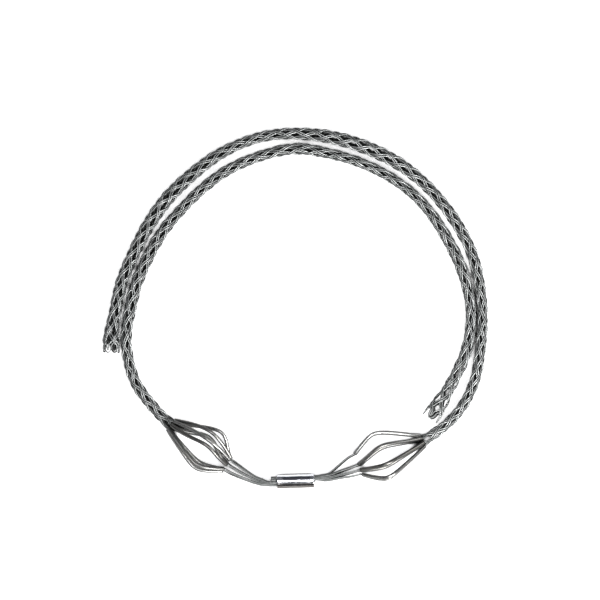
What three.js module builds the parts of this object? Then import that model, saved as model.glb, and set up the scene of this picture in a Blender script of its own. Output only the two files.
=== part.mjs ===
// Double-ended cable pulling grip: two long woven wire socks joined by one pressed ferrule,
// lying coiled in one ring on a flat surface. Millimetres, +Z up.
//
// Each sock is woven from four doubled wire strands. A strand leaves the ferrule as a leg, bows
// out through a steel sleeve in the cage, runs along the sock in one hand of lay, turns back in a
// loop at the open mouth, runs home in the other hand and returns through a second sleeve. The
// two legs of a strand are solids of their own, so that the cage between them stays open.

import * as THREE from 'three';
import { mergeVertices } from 'three/addons/utils/BufferGeometryUtils.js';

// Wire and clearances
const ROPE_DIAMETER = 1.3; // one wire rope; each strand is two of them side by side
const CLEARANCE = 0.3; // left between pieces that touch
const PACKED_SHARE = 1.46; // across a strand in a sleeve or the ferrule, in rope diameters
const WOVEN_SHARE = 2.3; // across a strand in the weave, in rope diameters

// Woven sock
const MESH_RADIUS = 4.5; // sock axis to the middle of the weave
const CROSSING_ROWS = 76; // rows of crossings along each sock
const WEAVE_SLACK = 0.2; // spare room where one strand passes over another
const FLARE_LENGTH = 38; // the sock widens over this stretch before its mouth
const MOUTH_HALF_WIDTH = 8; // sock axis to weave middle, across, at the mouth
const MOUTH_HALF_HEIGHT = 6; // the same, upwards: the mouth lies slightly flattened
const LOOP_LENGTH = 6; // last crossings to the tips of the mouth loops
const LOOP_SHOULDER = 0.35; // share of a loop's length and width where its round tip starts
const SETTLING_ROWS = 4; // rows of crossings over which the sock comes down from its neck

// Cage of sleeved bars
const SLEEVE_WALL = 0.42;
const SLEEVE_SIDES = 6;
const SLEEVE_INSET = 1.2; // bare strand between a sleeve's end and the neck or the bundle
const NECK_SLACK = 0.2; // spare room beside each sleeve at the neck
const CAGE_LENGTH = 71;
const CAGE_FLATTENING = 0.72; // height of the bowed cage as a share of its width
const BEND_ROUNDING = 9; // how softly a bar turns at its widest point

// Bundle and ferrule
const BUNDLE_SLACK = 0.35; // spare room beside each strand in the loose bundle
const FERRULE_LENGTH = 37;
const FERRULE_WALL = 1.35;
const FERRULE_CHAMFER = 0.5;
const FERRULE_SIDES = 24;
const FERRULE_YAW = THREE.MathUtils.degToRad(1.5);
const STUB_LENGTH = 6; // cut wire ends of the right bundle, past the ferrule
const WIRE_SETBACK = 1.5; // cut wire ends of the left bundle, short of the ferrule's face
const BUNDLE_OPENING = 11; // the pressed wires open into the round bundle over this length
const BUNDLE_STRAIGHT = 1; // wires stay straight this far past the last cut end
const LAP_SHARE = 1.14; // each side's wires lie this far off the ferrule's axis, in strand steps
const PRESSED_OUTER = THREE.MathUtils.degToRad(36); // between neighbours in the outer row of wires
const PRESSED_INNER = THREE.MathUtils.degToRad(60); // the same, in the inner row

// How the grip lies: places measured from the middle of the ring
const FERRULE_CENTRE = [-4.5, -173];

// Ring of the socks, one row each: angle in degrees, radius of the inner (left) sock, its girth,
// clear gap to the outer (right) sock, and the outer sock's girth. Girth is a share of MESH_RADIUS.
const RING = [
  [193, 178, 1, 3.1, 1.15],
  [187, 174.6, 1.05, 2.1, 1.15],
  [180, 169.6, 1.17, 0.9, 1.17],
  [172, 165.6, 1.17, 1, 1.17],
  [160, 159.8, 1.15, 1, 1.2],
  [150, 156.8, 1.08, 2, 1.3],
  [140, 154.2, 0.95, 4.5, 1.33],
  [130, 154.1, 0.98, 4.5, 1.25],
  [120, 155.4, 0.98, 5.4, 1.12],
  [112, 156.2, 0.98, 6.6, 0.95],
  [103, 157.3, 0.97, 6.7, 0.92],
  [95, 159, 1.05, 3.8, 1],
  [89, 159.2, 1.08, 2.2, 1.1],
  [82, 157.6, 1, 3.2, 1.22],
  [74, 157.2, 0.93, 3.2, 1.3],
  [65, 157.6, 0.92, 3.1, 1.32],
  [55, 159, 0.92, 3.3, 1.22],
  [45, 160.6, 0.92, 3.4, 1.05],
  [37, 161.4, 0.95, 3.3, 1.03],
  [29, 162.1, 1.03, 3.4, 1.08],
  [20, 164.2, 1.1, 3.4, 1],
  [14, 166.3, 1.1, 1.8, 1.05],
  [7, 168.6, 1, 0.7, 1],
  [0, 170.8, 0.92, 0.4, 0.92],
  [-8, 171.8, 0.96, 0.5, 0.94],
  [-15, 171.7, 1.08, 1.9, 1],
  [-22, 170.2, 1.12, 6.7, 0.95],
  [-30, 169.3, 1.15, 8.5, 0.93],
  [-36, 169.5, 1.15, 6.6, 0.93],
  [-40, 170.2, 1.15, 3.6, 0.93],
];

// Left sock between its neck and the ring, and the right sock between the ring and its neck:
// angle, radius and girth
const LEFT_ENTRY = [[215, 176.8, 1], [204, 180.6, 1]];
const RIGHT_ENTRY = [[-44, 183.4, 1]];

// Cage bars, one row each: angle round the cage, share of the length at the bend, bow radius,
// and radius where the bar runs into the bundle. A sock rolls by some degrees from neck to mouth.
const SIDES = {
  left: {
    toRight: -1,
    stub: -WIRE_SETBACK,
    beside: STUB_LENGTH,
    bundle: [[-44, -172.3], [-53.5, -167.8], [-72, -157.2], [-101, -136.8]],
    neck: [-129.8, -115.9],
    phase: 0,
    roll: -14,
    bars: [
      [0, 0.67, 25, 7.6],
      [32, 0.65, 24.6, 7.6],
      [106, 0.62, 24.6, 7.6],
      [118, 0.58, 24.6, 7.6],
      [148, 0.54, 24.6, 7.6],
      [180, 0.68, 27.6, 8.4],
      [229, 0.57, 24.4, 7.6],
      [314, 0.66, 24.6, 7.6],
    ],
  },
  right: {
    toRight: 1,
    stub: STUB_LENGTH,
    beside: -WIRE_SETBACK,
    bundle: [[28.5, -169.2], [40, -165.6], [60, -159], [92, -145.5]],
    neck: [124, -132],
    phase: 18,
    roll: -18,
    bars: [
      [8, 0.62, 30.8, 15.2],
      [55, 0.6, 25.8, 7.8],
      [108, 0.64, 25.2, 7.6],
      [146, 0.69, 27.2, 8],
      [204, 0.71, 27.4, 8],
      [243, 0.66, 25.4, 7.6],
      [296, 0.6, 25.6, 7.8],
      [346, 0.63, 30.2, 14.8],
    ],
  },
};

const STEEL_WIRE = new THREE.MeshStandardMaterial({ color: 0x9a9d9a, roughness: 0.45, metalness: 0.9 });
const STEEL_SLEEVE = new THREE.MeshStandardMaterial({ color: 0xb9b8b2, roughness: 0.22, metalness: 1 });
const ALUMINIUM = new THREE.MeshStandardMaterial({ color: 0xc9cdd3, roughness: 0.3, metalness: 1 });

// Sizes that follow from the ones above
const STRANDS = 4;
const STRAND_SIDES = 4;
const SLOTS = 2 * STRANDS;
const SLOT_STEP = (2 * Math.PI) / SLOTS;
const STRAND_HALF_WIDTH = (WOVEN_SHARE * ROPE_DIAMETER) / 2;
const STRAND_HALF_THICKNESS = ROPE_DIAMETER / 2;
const PACKED_HALF = (PACKED_SHARE * ROPE_DIAMETER) / 2;
const WEAVE_OFFSET = STRAND_HALF_THICKNESS + WEAVE_SLACK;
const WEAVE_DEPTH = WEAVE_OFFSET + STRAND_HALF_THICKNESS;
const SLEEVE_BORE = (PACKED_HALF + CLEARANCE) / Math.cos(Math.PI / SLEEVE_SIDES);
const SLEEVE_RADIUS = SLEEVE_BORE + SLEEVE_WALL;
const NECK_RADIUS = (SLEEVE_RADIUS + CLEARANCE / 2 + NECK_SLACK) / Math.sin(SLOT_STEP / 2);
const BUNDLE_RADIUS = (PACKED_HALF + BUNDLE_SLACK) / Math.sin(SLOT_STEP / 2);
const PACKED_STEP = 2 * PACKED_HALF + CLEARANCE;
const FERRULE_BORE = (2 * PACKED_STEP + PACKED_HALF + CLEARANCE) / Math.cos(Math.PI / FERRULE_SIDES);
const FERRULE_RADIUS = FERRULE_BORE + FERRULE_WALL;
const FERRULE_HEIGHT = FERRULE_RADIUS * Math.cos(Math.PI / FERRULE_SIDES);
const LAP_OFFSET = LAP_SHARE * PACKED_STEP;

const UP = new THREE.Vector3(0, 0, 1);
const { degToRad, lerp, smoothstep } = THREE.MathUtils;

// Closed solid swept through rings of points, all with the same count; hollow if given two
// sets of rings, outer and inner.
function skin(rings, bore) {
  const count = rings[0].length;
  const last = rings.length - 1;
  const vertices = rings.flat();
  const index = [];
  const at = (ring, k) => ring * count + (k % count);
  const quad = (a, b, c, d) => index.push(a, b, c, a, c, d);
  for (let i = 0; i < last; i++) {
    for (let k = 0; k < count; k++) quad(at(i, k), at(i, k + 1), at(i + 1, k + 1), at(i + 1, k));
  }
  if (bore) {
    const base = vertices.length;
    vertices.push(...bore.flat());
    for (let i = 0; i < last; i++) {
      for (let k = 0; k < count; k++) {
        quad(base + at(i, k), base + at(i + 1, k), base + at(i + 1, k + 1), base + at(i, k + 1));
      }
    }
    for (let k = 0; k < count; k++) {
      quad(at(0, k), base + at(0, k), base + at(0, k + 1), at(0, k + 1));
      quad(at(last, k), at(last, k + 1), base + at(last, k + 1), base + at(last, k));
    }
  } else {
    for (let k = 1; k < count - 1; k++) {
      index.push(at(0, 0), at(0, k + 1), at(0, k));
      index.push(at(last, 0), at(last, k), at(last, k + 1));
    }
  }
  const geometry = new THREE.BufferGeometry().setFromPoints(vertices);
  geometry.setIndex(index);
  return geometry;
}

// Rings of an n-sided section along a path of { point, radial, size } steps. The section's
// width lies across the path and its depth along the radial direction.
function sectionRings(path, sides, size) {
  return path.map((step, i) => {
    const before = path[Math.max(i - 1, 0)].point;
    const after = path[Math.min(i + 1, path.length - 1)].point;
    const arriving = step.point.clone().sub(before).normalize();
    const leaving = after.clone().sub(step.point).normalize();
    const along = arriving.add(leaving).normalize();
    const radial = step.radial.clone().addScaledVector(along, -step.radial.dot(along)).normalize();
    const across = new THREE.Vector3().crossVectors(along, radial);
    const [halfWidth, halfDepth] = size(step);
    return Array.from({ length: sides }, (_, k) => {
      const turn = (2 * Math.PI * k) / sides;
      return step.point.clone()
        .addScaledVector(radial, halfDepth * Math.cos(turn))
        .addScaledVector(across, halfWidth * Math.sin(turn));
    });
  });
}

function polar([degrees, radius]) {
  const angle = degToRad(degrees);
  return [radius * Math.cos(angle), radius * Math.sin(angle)];
}

// One sock's rows of angle, radius and girth, from its neck to its mouth
function sockRows(name) {
  if (name === 'left') return [...LEFT_ENTRY, ...RING.map((row) => row.slice(0, 3))];
  const outer = RING.map(([degrees, radius, girth, gap, outerGirth]) => {
    const apart = (girth + outerGirth) * MESH_RADIUS + 2 * WEAVE_DEPTH + gap;
    return [degrees, radius + apart, outerGirth];
  });
  return [...outer, ...RIGHT_ENTRY].reverse();
}

// Girth at a place on the sock, from its angle round the ring
function girthAt(rows, { x, y }) {
  const ringAngle = THREE.MathUtils.radToDeg(Math.atan2(y, x));
  const degrees = ringAngle < -90 ? ringAngle + 360 : ringAngle;
  const past = rows.findIndex((row, i) => i > 0 && (row[0] - degrees) * (rows[i - 1][0] - degrees) <= 0);
  if (past < 0) return rows[0][2];
  const [from, to] = [rows[past - 1], rows[past]];
  return lerp(from[2], to[2], (degrees - from[0]) / (to[0] - from[0]));
}

// The line that one side's bundle, cage and sock follow, as seen from above
function makeSpine(name) {
  const side = SIDES[name];
  const yawed = new THREE.Vector3(Math.cos(FERRULE_YAW), Math.sin(FERRULE_YAW), 0);
  const along = yawed.multiplyScalar(side.toRight);
  const sideways = new THREE.Vector3().crossVectors(UP, along);
  const axis = new THREE.Vector3(...FERRULE_CENTRE, 0).addScaledVector(sideways, LAP_OFFSET);
  const straight = FERRULE_LENGTH + side.stub + Math.max(side.beside, 0) + BUNDLE_STRAIGHT;
  const start = axis.clone().addScaledVector(along, -FERRULE_LENGTH / 2 - side.stub);
  const leave = start.clone().addScaledVector(along, straight);
  const route = [[leave.x, leave.y], ...side.bundle, side.neck, ...sockRows(name).map(polar)];
  const curve = new THREE.CatmullRomCurve3(route.map(([x, y]) => new THREE.Vector3(x, y, 0)));
  const neckIndex = side.bundle.length + 1;
  const stepsEach = 60;
  curve.arcLengthDivisions = stepsEach * (route.length - 1);
  const lengths = curve.getLengths();
  const curved = lengths[lengths.length - 1];
  const point = (s) => {
    if (s < straight) return start.clone().addScaledVector(along, s);
    return curve.getPointAt(Math.min((s - straight) / curved, 1));
  };
  const end = straight + curved;
  const frame = (s) => {
    const tangent = point(Math.min(s + 0.5, end)).sub(point(s - 0.5)).normalize();
    return { centre: point(s), sideways: new THREE.Vector3().crossVectors(UP, tangent) };
  };
  return { frame, straight, neckAt: straight + lengths[stepsEach * neckIndex], end };
}

// Where slot m of the pressed bundle sits in the ferrule: five strands round the outside of
// its half of the bore and three inside them.
function pressedPlace(slot) {
  const turn = slot > STRANDS ? slot - SLOTS : slot;
  if (Math.abs(turn) <= 2) {
    const angle = turn * PRESSED_OUTER;
    return [2 * PACKED_STEP * Math.cos(angle) - LAP_OFFSET, 2 * PACKED_STEP * Math.sin(angle)];
  }
  const angle = (STRANDS - Math.abs(turn)) * Math.sign(turn) * PRESSED_INNER;
  return [PACKED_STEP * Math.cos(angle) - LAP_OFFSET, PACKED_STEP * Math.sin(angle)];
}

// Distance of a cage bar from the cage's axis: two straight legs with a rounded bend
function barRadius([, bendShare, bow, endRadius], fromNeck) {
  const bendAt = bendShare * CAGE_LENGTH;
  const rising = NECK_RADIUS + ((bow - NECK_RADIUS) * fromNeck) / bendAt;
  const falling = endRadius + ((bow - endRadius) * (CAGE_LENGTH - fromNeck)) / (CAGE_LENGTH - bendAt);
  return (rising + falling - Math.hypot(rising - falling, BEND_ROUNDING)) / 2;
}

// One side's steps from the ferrule to its last row of crossings. Each step knows where every
// slot's strand is.
function makeSteps(name) {
  const side = SIDES[name];
  const spine = makeSpine(name);
  const phase = degToRad(side.phase);
  const rows = sockRows(name);
  const cageFrom = spine.neckAt - CAGE_LENGTH;
  const steps = [];

  const place = (s, spots, size, lift) => {
    const { centre, sideways } = spine.frame(s);
    const height = lift ?? Math.max(...spots.map(({ up }) => -up)) + SLEEVE_RADIUS;
    const strands = spots.map(({ out, up, angle }) => ({
      point: centre.clone().addScaledVector(sideways, out).addScaledVector(UP, up + height),
      radial: sideways.clone().multiplyScalar(Math.cos(angle)).addScaledVector(UP, Math.sin(angle)),
      size,
    }));
    const step = { s, strands, height };
    steps.push(step);
    return step;
  };
  const packed = [PACKED_HALF, PACKED_HALF];
  const slots = Array.from({ length: SLOTS }, (_, slot) => slot);
  const polarSpot = (radiusOut, radiusUp, angle) => ({
    out: radiusOut * Math.cos(angle),
    up: radiusUp * Math.sin(angle),
    angle,
  });

  const cageSpots = (fromNeck) => slots.map((slot) => {
    const bar = side.bars[slot];
    const even = phase + slot * SLOT_STEP;
    const radius = barRadius(bar, fromNeck);
    const bowed = (radius - NECK_RADIUS) / (bar[2] - NECK_RADIUS);
    const share = smoothstep(bowed, 0, 1);
    const angle = lerp(even, degToRad(bar[0]), share);
    const upright = lerp(NECK_RADIUS, CAGE_FLATTENING * bar[2], Math.max(bowed, 0));
    return polarSpot(radius, Math.min(upright, radius), angle);
  });

  // Bundle: pressed side by side in the ferrule, then opening into a ring of eight
  const pressedTo = spine.straight - BUNDLE_STRAIGHT;
  const bundleSpots = (s) => {
    const opened = smoothstep(s, pressedTo, pressedTo + BUNDLE_OPENING);
    const turned = smoothstep(s, pressedTo, cageFrom) * phase;
    const widen = smoothstep(s, pressedTo + BUNDLE_OPENING, cageFrom);
    return slots.map((slot) => {
      const radius = lerp(BUNDLE_RADIUS, side.bars[slot][3], widen);
      const angle = slot * SLOT_STEP + turned;
      const [pressedOut, pressedUp] = pressedPlace(slot);
      const ring = polarSpot(radius, radius * lerp(1, CAGE_FLATTENING, widen), angle);
      return { out: lerp(pressedOut, ring.out, opened), up: lerp(pressedUp, ring.up, opened), angle };
    });
  };
  const cageEndHeight = Math.max(...cageSpots(CAGE_LENGTH).map(({ up }) => -up)) + SLEEVE_RADIUS;
  const bundleStations = [0, pressedTo];
  const bundleSteps = 5;
  for (let i = 1; i < bundleSteps; i++) {
    bundleStations.push(lerp(spine.straight, cageFrom, i / bundleSteps));
  }
  for (const s of bundleStations) {
    const lift = lerp(FERRULE_HEIGHT, cageEndHeight, smoothstep(s, pressedTo, cageFrom));
    place(s, bundleSpots(s), packed, lift);
  }

  // Cage: sleeves run from one inset to the other
  const sleeveFrom = steps.length;
  const shares = [1, 0.88, 0.79, 0.72, 0.66, 0.6, 0.54, 0.46, 0.32, 0.12, 0];
  for (const share of shares) {
    const fromNeck = lerp(SLEEVE_INSET, CAGE_LENGTH - SLEEVE_INSET, share);
    place(spine.neckAt - fromNeck, cageSpots(fromNeck), packed);
  }
  const sleeveTo = steps.length;
  const neckLift = steps[sleeveTo - 1].height;

  // The legs end just past the sleeves, where the woven strands begin
  for (const fromNeck of [(SLEEVE_INSET + CLEARANCE) / 2, (SLEEVE_INSET - CLEARANCE) / 2, 0]) {
    place(spine.neckAt - fromNeck, cageSpots(fromNeck), packed);
  }

  // Sock: one step for each row of crossings
  const sockLength = spine.end - LOOP_LENGTH - spine.neckAt;
  const pitch = sockLength / CROSSING_ROWS;
  const woven = [STRAND_HALF_WIDTH, STRAND_HALF_THICKNESS];
  const shape = (s) => {
    const flared = smoothstep(s, spine.end - FLARE_LENGTH, spine.end - LOOP_LENGTH / 2);
    const radius = MESH_RADIUS * girthAt(rows, spine.frame(s).centre);
    return { out: lerp(radius, MOUTH_HALF_WIDTH, flared), up: lerp(radius, MOUTH_HALF_HEIGHT, flared) };
  };
  const lay = (slot) => (slot % 2 === 0 ? 1 : -1);
  const settled = (s) => smoothstep(s, spine.neckAt, spine.neckAt + SETTLING_ROWS * pitch);
  const rolled = (s) => {
    const share = (s - spine.neckAt) / (spine.end - spine.neckAt);
    return (degToRad(side.roll) * (settled(s) + share)) / 2;
  };
  const wovenSpot = (s, angle, offset) => {
    const { out, up } = shape(s);
    return polarSpot(out + offset, up + offset, angle + rolled(s));
  };
  const sockLift = (s) => {
    const level = shape(s).up + WEAVE_DEPTH;
    return lerp(neckLift, level, settled(s));
  };
  for (let row = 0; row < CROSSING_ROWS; row++) {
    const s = spine.neckAt + (row + 0.5) * pitch;
    const over = row % 2 === 0 ? WEAVE_OFFSET : -WEAVE_OFFSET;
    const spots = slots.map((slot) => {
      const angle = phase + slot * SLOT_STEP + lay(slot) * (row + 0.5) * SLOT_STEP;
      return wovenSpot(s, angle, lay(slot) * over);
    });
    place(s, spots, woven, sockLift(s));
  }

  // Loop that joins slot m to its partner: a petal with a round tip
  const lastOver = (CROSSING_ROWS - 1) % 2 === 0 ? WEAVE_OFFSET : -WEAVE_OFFSET;
  const tipFrom = spine.neckAt + (CROSSING_ROWS - 0.5) * pitch;
  const tipLength = spine.end - tipFrom;
  const loop = (slot) => {
    const meet = phase + slot * SLOT_STEP + (CROSSING_ROWS + 0.5) * SLOT_STEP;
    const rise = [[LOOP_SHOULDER / 2, (1 + LOOP_SHOULDER) / 2], [LOOP_SHOULDER, LOOP_SHOULDER]];
    const tip = [30, 60, 90].map((degrees) => {
      const turn = degToRad(degrees);
      return [lerp(LOOP_SHOULDER, 1, Math.sin(turn)), LOOP_SHOULDER * Math.cos(turn)];
    });
    const half = [...rise, ...tip];
    const point = ([share, apart], hand) => {
      const s = tipFrom + share * tipLength;
      const spot = wovenSpot(s, meet - hand * apart * SLOT_STEP, hand * lastOver * (1 - share));
      const { centre, sideways } = spine.frame(s);
      const radial = sideways.clone().multiplyScalar(Math.cos(spot.angle));
      return {
        point: centre.addScaledVector(sideways, spot.out).addScaledVector(UP, spot.up + sockLift(s)),
        radial: radial.addScaledVector(UP, Math.sin(spot.angle)),
        size: woven,
      };
    };
    return [...half.map((row) => point(row, 1)), ...half.slice(0, -1).reverse().map((row) => point(row, -1))];
  };
  const partner = (slot) => (slot + 1 + 2 * CROSSING_ROWS) % SLOTS;
  return { steps, sleeveFrom, sleeveTo, loop, partner };
}

function mesh(name, geometry, material) {
  const piece = new THREE.Mesh(geometry, material);
  piece.name = name;
  return piece;
}

function strandMesh(name, number, { steps, sleeveTo, loop, partner }) {
  const slot = 2 * (number - 1);
  const woven = steps.slice(sleeveTo + 1);
  const out = woven.map(({ strands }) => strands[slot]);
  const back = woven.map(({ strands }) => strands[partner(slot)]).reverse();
  const rings = sectionRings([...out, ...loop(slot), ...back], STRAND_SIDES, ({ size }) => size);
  return mesh(`${name}_strand_${number}`, skin(rings), STEEL_WIRE);
}

function legMesh(name, slot, { steps, sleeveTo }) {
  const path = steps.slice(0, sleeveTo + 1).map(({ strands }) => strands[slot]);
  const rings = sectionRings(path, STRAND_SIDES, ({ size }) => size);
  return mesh(`${name}_leg_${slot + 1}`, skin(rings), STEEL_WIRE);
}

function sleeveMesh(name, slot, { steps, sleeveFrom, sleeveTo }) {
  const path = steps.map(({ strands }) => strands[slot]);
  const tube = (radius) => {
    const rings = sectionRings(path, SLEEVE_SIDES, () => [radius, radius]);
    return rings.slice(sleeveFrom, sleeveTo);
  };
  return mesh(`${name}_sleeve_${slot + 1}`, skin(tube(SLEEVE_RADIUS), tube(SLEEVE_BORE)), STEEL_SLEEVE);
}

function ferruleMesh() {
  const half = FERRULE_LENGTH / 2;
  const profile = [
    [FERRULE_BORE, -half],
    [FERRULE_RADIUS - FERRULE_CHAMFER, -half],
    [FERRULE_RADIUS, -half + FERRULE_CHAMFER],
    [FERRULE_RADIUS, half - FERRULE_CHAMFER],
    [FERRULE_RADIUS - FERRULE_CHAMFER, half],
    [FERRULE_BORE, half],
    [FERRULE_BORE, -half],
  ].map(([x, y]) => new THREE.Vector2(x, y));
  const lathe = new THREE.LatheGeometry(profile, FERRULE_SIDES, Math.PI / FERRULE_SIDES);
  lathe.deleteAttribute('normal');
  lathe.deleteAttribute('uv');
  const body = mergeVertices(lathe);
  body.rotateZ(-Math.PI / 2);
  const piece = mesh('ferrule', body, ALUMINIUM);
  piece.rotation.z = FERRULE_YAW;
  piece.position.set(...FERRULE_CENTRE, FERRULE_HEIGHT);
  return piece;
}

const grip = new THREE.Group();
grip.add(ferruleMesh());
for (const name of ['left', 'right']) {
  const side = makeSteps(name);
  for (let number = 1; number <= STRANDS; number++) grip.add(strandMesh(name, number, side));
  for (let slot = 0; slot < SLOTS; slot++) grip.add(legMesh(name, slot, side), sleeveMesh(name, slot, side));
}

// The origin is the middle of the footprint, on the surface that the grip lies on
grip.updateMatrixWorld(true);
const bounds = new THREE.Box3().setFromObject(grip);
const middle = bounds.getCenter(new THREE.Vector3());
grip.position.set(-middle.x, -middle.y, -bounds.min.z);

export default grip;
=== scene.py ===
import math

import bpy
import numpy as np
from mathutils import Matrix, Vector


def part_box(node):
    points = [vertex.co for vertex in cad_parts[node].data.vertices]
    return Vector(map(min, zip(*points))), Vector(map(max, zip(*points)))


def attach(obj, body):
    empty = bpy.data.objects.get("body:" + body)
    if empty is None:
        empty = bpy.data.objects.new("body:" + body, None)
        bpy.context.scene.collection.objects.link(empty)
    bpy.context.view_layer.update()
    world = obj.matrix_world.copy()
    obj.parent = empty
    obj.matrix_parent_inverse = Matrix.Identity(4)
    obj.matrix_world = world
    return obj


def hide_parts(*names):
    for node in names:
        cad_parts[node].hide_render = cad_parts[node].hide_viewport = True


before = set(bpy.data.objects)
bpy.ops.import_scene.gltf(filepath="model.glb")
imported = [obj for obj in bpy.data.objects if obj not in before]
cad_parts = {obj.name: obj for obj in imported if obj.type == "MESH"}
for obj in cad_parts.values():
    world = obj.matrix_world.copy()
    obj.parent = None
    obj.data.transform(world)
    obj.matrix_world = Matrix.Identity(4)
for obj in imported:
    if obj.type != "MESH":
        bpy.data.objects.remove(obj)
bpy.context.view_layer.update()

# A double-ended cable pulling grip, lying coiled in a ring. Sizes are millimetres until a mesh is
# made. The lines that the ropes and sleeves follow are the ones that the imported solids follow.
MM = 0.001
BODY = "root"

# The grip's own sizes
ROPE_DIAMETER = 1.3
CLEARANCE = 0.3
PACKED_SHARE = 1.46
MESH_RADIUS = 4.5
CROSSING_ROWS = 76
WEAVE_SLACK = 0.2
FLARE_LENGTH = 38
MOUTH_HALF_WIDTH = 8
MOUTH_HALF_HEIGHT = 6
LOOP_LENGTH = 6
LOOP_SHOULDER = 0.35
SETTLING_ROWS = 4
SLEEVE_WALL = 0.42
SLEEVE_SIDES = 6
SLEEVE_INSET = 1.2
NECK_SLACK = 0.2
CAGE_LENGTH = 71
CAGE_FLATTENING = 0.72
BEND_ROUNDING = 9
BUNDLE_SLACK = 0.35
FERRULE_LENGTH = 37
FERRULE_WALL = 1.35
FERRULE_CHAMFER = 0.5
FERRULE_SIDES = 24
FERRULE_YAW = math.radians(1.5)
STUB_LENGTH = 6
WIRE_SETBACK = 1.5
BUNDLE_OPENING = 11
BUNDLE_STRAIGHT = 1
LAP_SHARE = 1.14
PRESSED_OUTER = math.radians(36)
PRESSED_INNER = math.radians(60)
FERRULE_CENTRE = np.array([-4.5, -173.0])

# Angle in degrees, radius of the inner (left) sock, its girth, gap to the outer (right) sock,
# and the outer sock's girth
RING = (
    (193, 178, 1, 3.1, 1.15), (187, 174.6, 1.05, 2.1, 1.15), (180, 169.6, 1.17, 0.9, 1.17),
    (172, 165.6, 1.17, 1, 1.17), (160, 159.8, 1.15, 1, 1.2), (150, 156.8, 1.08, 2, 1.3),
    (140, 154.2, 0.95, 4.5, 1.33), (130, 154.1, 0.98, 4.5, 1.25), (120, 155.4, 0.98, 5.4, 1.12),
    (112, 156.2, 0.98, 6.6, 0.95), (103, 157.3, 0.97, 6.7, 0.92), (95, 159, 1.05, 3.8, 1),
    (89, 159.2, 1.08, 2.2, 1.1), (82, 157.6, 1, 3.2, 1.22), (74, 157.2, 0.93, 3.2, 1.3),
    (65, 157.6, 0.92, 3.1, 1.32), (55, 159, 0.92, 3.3, 1.22), (45, 160.6, 0.92, 3.4, 1.05),
    (37, 161.4, 0.95, 3.3, 1.03), (29, 162.1, 1.03, 3.4, 1.08), (20, 164.2, 1.1, 3.4, 1),
    (14, 166.3, 1.1, 1.8, 1.05), (7, 168.6, 1, 0.7, 1), (0, 170.8, 0.92, 0.4, 0.92),
    (-8, 171.8, 0.96, 0.5, 0.94), (-15, 171.7, 1.08, 1.9, 1), (-22, 170.2, 1.12, 6.7, 0.95),
    (-30, 169.3, 1.15, 8.5, 0.93), (-36, 169.5, 1.15, 6.6, 0.93), (-40, 170.2, 1.15, 3.6, 0.93),
)
LEFT_ENTRY = ((215, 176.8, 1), (204, 180.6, 1))
RIGHT_ENTRY = ((-44, 183.4, 1),)

# Cage bars: angle round the cage, share of the length at the bend, bow radius, end radius. Each
# bar's tone is painted shade: how dark its sleeve is painted, from 0, bright, to 1.
SIDES = {
    "left": {
        "to_right": -1, "stub": -WIRE_SETBACK, "beside": STUB_LENGTH,
        "bundle": ((-44, -172.3), (-53.5, -167.8), (-72, -157.2), (-101, -136.8)),
        "neck": (-129.8, -115.9), "phase": 0, "roll": -14,
        "bars": (
            (0, 0.67, 25, 7.6), (32, 0.65, 24.6, 7.6), (106, 0.62, 24.6, 7.6), (118, 0.58, 24.6, 7.6),
            (148, 0.54, 24.6, 7.6), (180, 0.68, 27.6, 8.4), (229, 0.57, 24.4, 7.6), (314, 0.66, 24.6, 7.6),
        ),
        "tones": (0.4, 0.65, 0.9, 0.45, 0.7, 0.5, 0.65, 0.5),
    },
    "right": {
        "to_right": 1, "stub": STUB_LENGTH, "beside": -WIRE_SETBACK,
        "bundle": ((28.5, -169.2), (40, -165.6), (60, -159), (92, -145.5)),
        "neck": (124, -132), "phase": 18, "roll": -18,
        "bars": (
            (8, 0.62, 30.8, 15.2), (55, 0.6, 25.8, 7.8), (108, 0.64, 25.2, 7.6), (146, 0.69, 27.2, 8),
            (204, 0.71, 27.4, 8), (243, 0.66, 25.4, 7.6), (296, 0.6, 25.6, 7.8), (346, 0.63, 30.2, 14.8),
        ),
        "tones": (0.15, 0.75, 0.9, 0.55, 0.2, 0.85, 0.6, 0.2),
    },
}

STRANDS = 4
SLOTS = 2 * STRANDS
SLOT_STEP = 2 * math.pi / SLOTS
PACKED_HALF = PACKED_SHARE * ROPE_DIAMETER / 2
WEAVE_OFFSET = ROPE_DIAMETER / 2 + WEAVE_SLACK
WEAVE_DEPTH = WEAVE_OFFSET + ROPE_DIAMETER / 2
SLEEVE_BORE = (PACKED_HALF + CLEARANCE) / math.cos(math.pi / SLEEVE_SIDES)
SLEEVE_RADIUS = SLEEVE_BORE + SLEEVE_WALL
NECK_RADIUS = (SLEEVE_RADIUS + CLEARANCE / 2 + NECK_SLACK) / math.sin(SLOT_STEP / 2)
BUNDLE_RADIUS = (PACKED_HALF + BUNDLE_SLACK) / math.sin(SLOT_STEP / 2)
PACKED_STEP = 2 * PACKED_HALF + CLEARANCE
FERRULE_BORE = (2 * PACKED_STEP + PACKED_HALF + CLEARANCE) / math.cos(math.pi / FERRULE_SIDES)
FERRULE_RADIUS = FERRULE_BORE + FERRULE_WALL
FERRULE_HEIGHT = FERRULE_RADIUS * math.cos(math.pi / FERRULE_SIDES)
LAP_OFFSET = LAP_SHARE * PACKED_STEP

# The ring's centre in the frame's coordinates, from where the ferrule was packed
ferrule_low, ferrule_high = (np.array(corner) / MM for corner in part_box("ferrule"))
SHIFT = np.append((ferrule_low + ferrule_high)[:2] / 2 - FERRULE_CENTRE, 0)

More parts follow.
